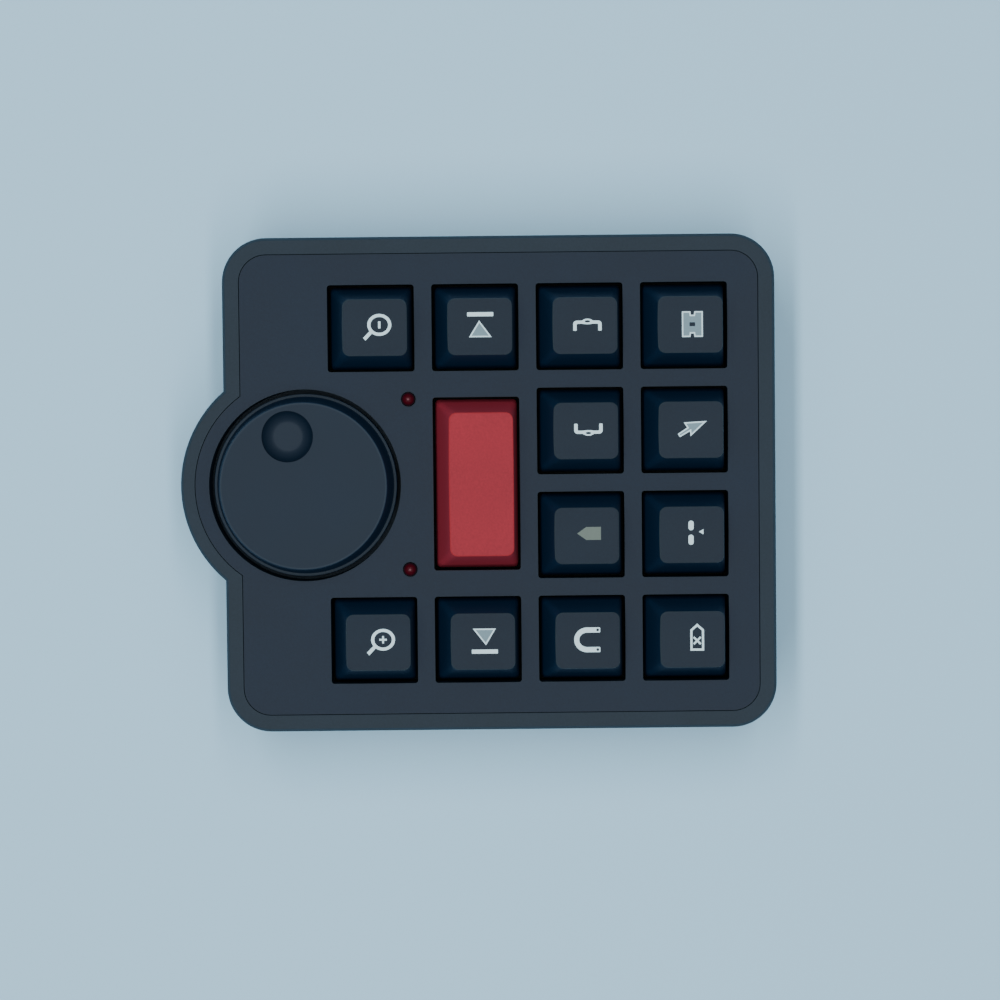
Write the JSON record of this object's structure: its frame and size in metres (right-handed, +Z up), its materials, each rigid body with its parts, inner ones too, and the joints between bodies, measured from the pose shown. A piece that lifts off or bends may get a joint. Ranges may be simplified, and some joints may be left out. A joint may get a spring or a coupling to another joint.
{
  "type": "video editing keyboard",
  "caption": "Palm-sized video editing keyboard: a grid of tapered pictogram keys, one double-width play key, a jog dial in a rounded bump at the front, and indicator lamps.",
  "frame": {"origin": "under the middle of the outline seen from above, on the surface the feet stand on", "axes": "+Z up, +Y away from the person who types (towards the cable socket), +X to their right"},
  "size_m": [0.1088, 0.131, 0.0287],
  "materials": {
    "case_plastic": "fine matt texture",
    "panel_plastic": "smooth satin film",
    "keycap_plastic": "fine matt texture",
    "play_keycap_plastic": "fine matt texture",
    "dial_plastic": "smooth satin",
    "slider_plastic": "smooth",
    "spring_steel": "bright wire",
    "switch_plastic": "moulded",
    "plate_steel": "black powder coat",
    "board_laminate": "green solder mask",
    "chip_plastic": "moulded",
    "socket_steel": "bright plated",
    "lamp_plastic": "dark red, clear",
    "encoder_plastic": "moulded",
    "nut_brass": "plated",
    "shaft_aluminium": "turned",
    "feet_rubber": "soft matt",
    "screw_steel": "dark zinc"
  },
  "bodies": {
    "case": {"top_cover": "case_plastic", "bottom_cover": "case_plastic", "face_panel": "panel_plastic", "switch_bases": "switch_plastic", "switch_tops": "switch_plastic", "switch_plate": "plate_steel", "main_board": "board_laminate", "control_chip": "chip_plastic", "usb_socket": "socket_steel", "status_lamps": "lamp_plastic", "encoder_body": "encoder_plastic", "encoder_nut": "nut_brass", "rubber_feet": "feet_rubber", "case_screws": "screw_steel", "stabiliser_housings": "switch_plastic"},
    "key_zoom_out": {"keycap_zoom_out": "keycap_plastic", "slider_zoom_out": "slider_plastic", "spring_zoom_out": "spring_steel"},
    "key_zoom_in": {"keycap_zoom_in": "keycap_plastic", "slider_zoom_in": "slider_plastic", "spring_zoom_in": "spring_steel"},
    "key_previous": {"keycap_previous": "keycap_plastic", "slider_previous": "slider_plastic", "spring_previous": "spring_steel"},
    "key_next": {"keycap_next": "keycap_plastic", "slider_next": "slider_plastic", "spring_next": "spring_steel"},
    "key_mark_in": {"keycap_mark_in": "keycap_plastic", "slider_mark_in": "slider_plastic", "spring_mark_in": "spring_steel"},
    "key_mark_out": {"keycap_mark_out": "keycap_plastic", "slider_mark_out": "slider_plastic", "spring_mark_out": "spring_steel"},
    "key_marker": {"keycap_marker": "keycap_plastic", "slider_marker": "slider_plastic", "spring_marker": "spring_steel"},
    "key_magnet": {"keycap_magnet": "keycap_plastic", "slider_magnet": "slider_plastic", "spring_magnet": "spring_steel"},
    "key_clip": {"keycap_clip": "keycap_plastic", "slider_clip": "slider_plastic", "spring_clip": "spring_steel"},
    "key_pointer": {"keycap_pointer": "keycap_plastic", "slider_pointer": "slider_plastic", "spring_pointer": "spring_steel"},
    "key_split": {"keycap_split": "keycap_plastic", "slider_split": "slider_plastic", "spring_split": "spring_steel"},
    "key_delete": {"keycap_delete": "keycap_plastic", "slider_delete": "slider_plastic", "spring_delete": "spring_steel"},
    "key_play": {"keycap_play": "play_keycap_plastic", "slider_play": "slider_plastic", "spring_play": "spring_steel", "stabiliser_sliders": "slider_plastic"},
    "dial": {"jog_dial": "dial_plastic", "encoder_shaft": "shaft_aluminium"},
    "wire": {"stabiliser_wire": "spring_steel"}
  },
  "joints": [
    {"name": "press_zoom_out", "type": "slide", "parent": "case", "child": "key_zoom_out", "axis": [0, 0, 1], "range_m": [-0.004, 0], "stiffness_N_per_m": 75, "springref_m": 0.004, "deforming": ["spring_zoom_out"]},
    {"name": "press_zoom_in", "type": "slide", "parent": "case", "child": "key_zoom_in", "axis": [0, 0, 1], "range_m": [-0.004, 0], "stiffness_N_per_m": 75, "springref_m": 0.004, "deforming": ["spring_zoom_in"]},
    {"name": "press_previous", "type": "slide", "parent": "case", "child": "key_previous", "axis": [0, 0, 1], "range_m": [-0.004, 0], "stiffness_N_per_m": 75, "springref_m": 0.004, "deforming": ["spring_previous"]},
    {"name": "press_next", "type": "slide", "parent": "case", "child": "key_next", "axis": [0, 0, 1], "range_m": [-0.004, 0], "stiffness_N_per_m": 75, "springref_m": 0.004, "deforming": ["spring_next"]},
    {"name": "press_mark_in", "type": "slide", "parent": "case", "child": "key_mark_in", "axis": [0, 0, 1], "range_m": [-0.004, 0], "stiffness_N_per_m": 75, "springref_m": 0.004, "deforming": ["spring_mark_in"]},
    {"name": "press_mark_out", "type": "slide", "parent": "case", "child": "key_mark_out", "axis": [0, 0, 1], "range_m": [-0.004, 0], "stiffness_N_per_m": 75, "springref_m": 0.004, "deforming": ["spring_mark_out"]},
    {"name": "press_marker", "type": "slide", "parent": "case", "child": "key_marker", "axis": [0, 0, 1], "range_m": [-0.004, 0], "stiffness_N_per_m": 75, "springref_m": 0.004, "deforming": ["spring_marker"]},
    {"name": "press_magnet", "type": "slide", "parent": "case", "child": "key_magnet", "axis": [0, 0, 1], "range_m": [-0.004, 0], "stiffness_N_per_m": 75, "springref_m": 0.004, "deforming": ["spring_magnet"]},
    {"name": "press_clip", "type": "slide", "parent": "case", "child": "key_clip", "axis": [0, 0, 1], "range_m": [-0.004, 0], "stiffness_N_per_m": 75, "springref_m": 0.004, "deforming": ["spring_clip"]},
    {"name": "press_pointer", "type": "slide", "parent": "case", "child": "key_pointer", "axis": [0, 0, 1], "range_m": [-0.004, 0], "stiffness_N_per_m": 75, "springref_m": 0.004, "deforming": ["spring_pointer"]},
    {"name": "press_split", "type": "slide", "parent": "case", "child": "key_split", "axis": [0, 0, 1], "range_m": [-0.004, 0], "stiffness_N_per_m": 75, "springref_m": 0.004, "deforming": ["spring_split"]},
    {"name": "press_delete", "type": "slide", "parent": "case", "child": "key_delete", "axis": [0, 0, 1], "range_m": [-0.004, 0], "stiffness_N_per_m": 75, "springref_m": 0.004, "deforming": ["spring_delete"]},
    {"name": "press_play", "type": "slide", "parent": "case", "child": "key_play", "axis": [0, 0, 1], "range_m": [-0.004, 0], "stiffness_N_per_m": 75, "springref_m": 0.004, "deforming": ["spring_play"]},
    {"name": "dial_turn", "type": "hinge", "parent": "case", "child": "dial", "pos_m": [0, -0.03812, 0], "axis": [0, 0, 1], "continuous": true},
    {"name": "wire_swing", "type": "hinge", "parent": "case", "child": "wire", "pos_m": [0, -0.009, 0.0135], "axis": [1, 0, 0], "range_deg": [-33, 0]}
  ],
  "couplings": [
    {"joint": "wire_swing", "follows": "press_play", "rad_per_m": 138.2}
  ]
}
